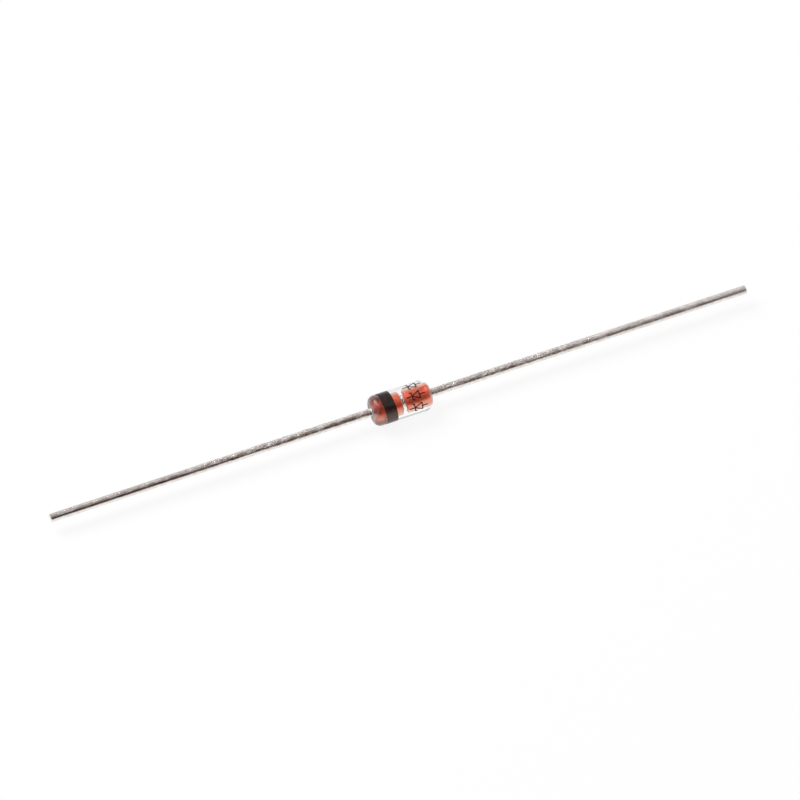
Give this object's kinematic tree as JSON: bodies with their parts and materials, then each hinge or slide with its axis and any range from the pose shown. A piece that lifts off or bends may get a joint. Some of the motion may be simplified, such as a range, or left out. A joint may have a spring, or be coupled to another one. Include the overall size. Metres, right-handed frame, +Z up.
{
  "type": "zener diode",
  "caption": "Axial zener diode: a clear glass body sealed on red studs with a chip between them, a black cathode band and straight tinned wire leads.",
  "frame": {"origin": "middle of the glass body, on the axis of the leads", "axes": "+X along the axis, from the banded cathode end to the anode end; +Z up"},
  "size_m": [0.0436, 0.0018, 0.0018],
  "materials": {
    "glass": "clear, fire-polished",
    "stud_copper": "red oxidised copper under glass",
    "silicon": "sawn, dark grey",
    "silver": "plated silver, satin",
    "tinned_wire": "tinned, drawn along its length",
    "black_ink": "cured gloss ink"
  },
  "bodies": {
    "root": {"glass_body": "glass", "cathode_stud": "stud_copper", "anode_stud": "stud_copper", "zener_chip": "silicon", "contact_bump": "silver", "cathode_lead": "tinned_wire", "anode_lead": "tinned_wire", "cathode_band": "black_ink"}
  },
  "joints": []
}
